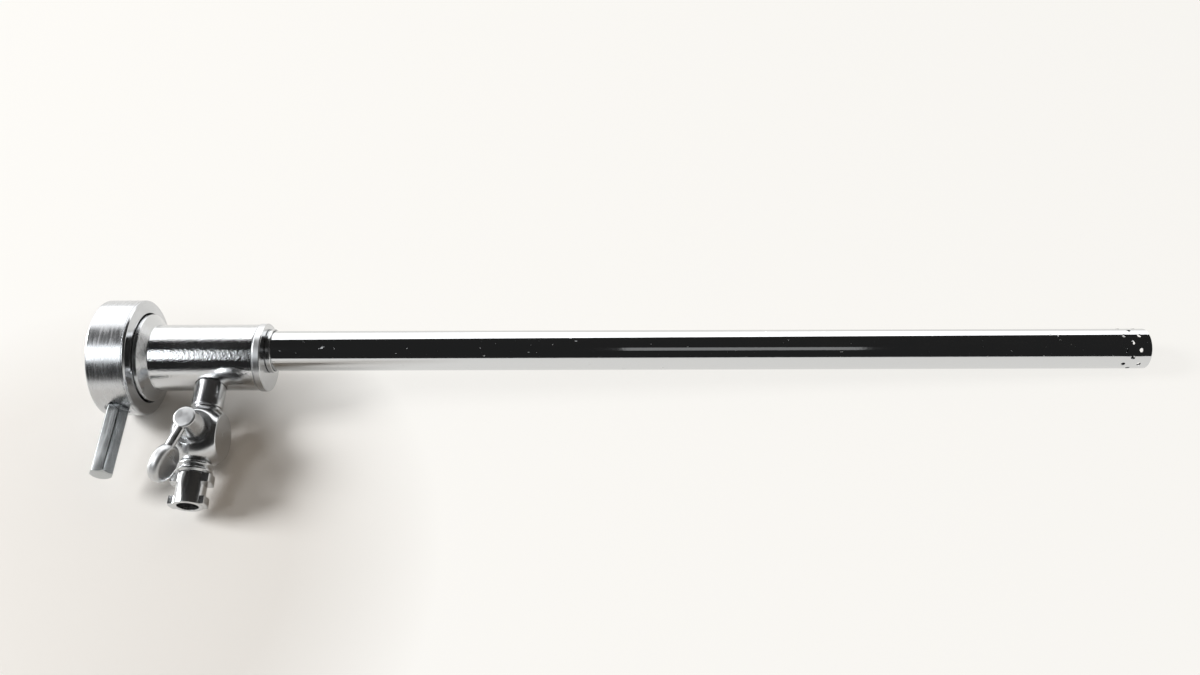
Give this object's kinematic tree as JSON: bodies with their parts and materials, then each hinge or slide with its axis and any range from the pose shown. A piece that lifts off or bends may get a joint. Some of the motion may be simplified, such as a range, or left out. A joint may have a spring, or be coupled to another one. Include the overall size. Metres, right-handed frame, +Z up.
{
  "type": "trocar cannula",
  "caption": "Steel instrument cannula with vented tip, flap valve housing, lever-turned bayonet lock ring and side stopcock with luer outlet.",
  "frame": {"origin": "centre of the bounding box at the height of its lowest point, which is the lowest point of the lock ring", "axes": "+X along the cannula towards its vented tip, -Y towards the side that the stopcock leaves on, +Z up, with the plug handle on top"},
  "size_m": [0.2222, 0.0459, 0.0247],
  "materials": {
    "polished_steel": "mirror polished stainless steel",
    "satin_steel": "satin turned stainless steel",
    "spring_steel": "drawn spring wire",
    "seal_rubber": "matte black silicone"
  },
  "bodies": {
    "housing": {"valve_housing": "polished_steel", "cannula_tube": "polished_steel", "tube_collar": "polished_steel", "end_cap": "polished_steel", "ring_o_ring": "seal_rubber", "retaining_nut": "satin_steel", "seal_retainer": "satin_steel", "entry_seal": "seal_rubber", "valve_seat": "satin_steel", "flap_gasket": "seal_rubber", "flap_pin": "satin_steel", "flap_spring": "spring_steel", "tap_ferrule": "polished_steel", "tap_body": "polished_steel", "outlet_union": "polished_steel", "luer_connector": "polished_steel"},
    "lock": {"lock_ring": "satin_steel", "bayonet_plate": "satin_steel", "lock_lever": "satin_steel"},
    "flap": {"flap_disc": "polished_steel"},
    "plug": {"tap_plug": "polished_steel", "tap_handle": "polished_steel", "plug_washer": "satin_steel", "plug_spring": "spring_steel", "plug_nut": "satin_steel"}
  },
  "joints": [
    {"name": "lock_turn", "type": "hinge", "parent": "housing", "child": "lock", "pos_m": [-0.1066, 0.01061, 0.01235], "axis": [-1, 0, 0], "range_deg": [0, 40]},
    {"name": "flap_swing", "type": "hinge", "parent": "housing", "child": "flap", "pos_m": [-0.10005, 0.00675, 0.01153], "axis": [0, 0.2079, -0.9781], "range_deg": [0, 85], "stiffness_Nm_per_rad": 0.0002, "springref_deg": -45.84},
    {"name": "plug_turn", "type": "hinge", "parent": "housing", "child": "plug", "pos_m": [-0.0885, -0.00758, 0.00848], "axis": [0, -0.2079, 0.9781], "range_deg": [-70, 20]}
  ]
}
